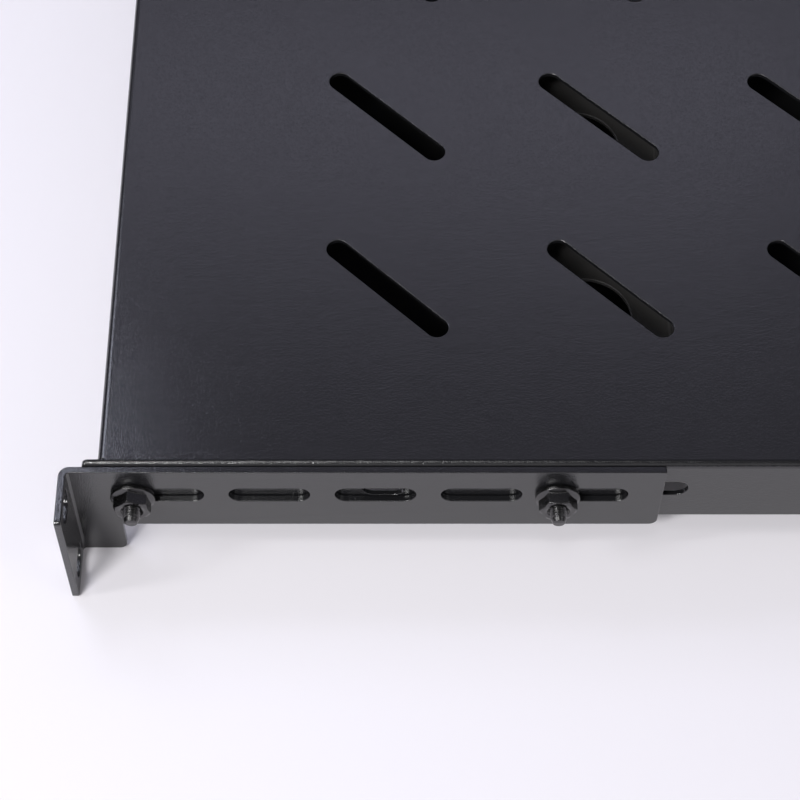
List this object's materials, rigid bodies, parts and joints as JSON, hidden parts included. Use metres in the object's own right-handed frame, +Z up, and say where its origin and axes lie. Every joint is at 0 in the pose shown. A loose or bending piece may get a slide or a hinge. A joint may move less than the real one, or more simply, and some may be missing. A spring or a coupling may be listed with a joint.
{
  "type": "rack shelf",
  "caption": "Vented one-unit shelf for a 19-inch four-post rack: a folded steel tray with slanted vent slots, carried by slotted, sliding side brackets with ears.",
  "frame": {"origin": "middle of the shelf in plan, level with the bottom edges of the ears and feet", "axes": "+X across the rack to the shelf's right-hand side, +Y from the front ears to the rear ears, +Z up"},
  "size_m": [0.4826, 0.5102, 0.0444],
  "materials": {
    "powder_coat": "fine-texture semi-gloss black powder coat",
    "fastener": "black-plated steel"
  },
  "bodies": {
    "tray": {"tray": "powder_coat", "stiffener_front": "powder_coat", "stiffener_rear": "powder_coat", "bolt_front_right_1": "fastener", "bolt_front_right_2": "fastener", "bolt_front_left_1": "fastener", "bolt_front_left_2": "fastener", "bolt_rear_right_1": "fastener", "bolt_rear_right_2": "fastener", "bolt_rear_left_1": "fastener", "bolt_rear_left_2": "fastener", "nut_front_right_1": "fastener", "nut_front_right_2": "fastener", "nut_front_left_1": "fastener", "nut_front_left_2": "fastener", "nut_rear_right_1": "fastener", "nut_rear_right_2": "fastener", "nut_rear_left_1": "fastener", "nut_rear_left_2": "fastener"},
    "bracket_front_right": {"bracket_front_right": "powder_coat"},
    "bracket_front_left": {"bracket_front_left": "powder_coat"},
    "bracket_rear_right": {"bracket_rear_right": "powder_coat"},
    "bracket_rear_left": {"bracket_rear_left": "powder_coat"}
  },
  "joints": [
    {"name": "front_right_slide", "type": "slide", "parent": "tray", "child": "bracket_front_right", "axis": [0, -1, 0], "range_m": [-0.00048, 0.01748]},
    {"name": "front_left_slide", "type": "slide", "parent": "tray", "child": "bracket_front_left", "axis": [0, -1, 0], "range_m": [-0.00048, 0.01748]},
    {"name": "rear_right_slide", "type": "slide", "parent": "tray", "child": "bracket_rear_right", "axis": [0, 1, 0], "range_m": [-0.00048, 0.01748]},
    {"name": "rear_left_slide", "type": "slide", "parent": "tray", "child": "bracket_rear_left", "axis": [0, 1, 0], "range_m": [-0.00048, 0.01748]}
  ]
}
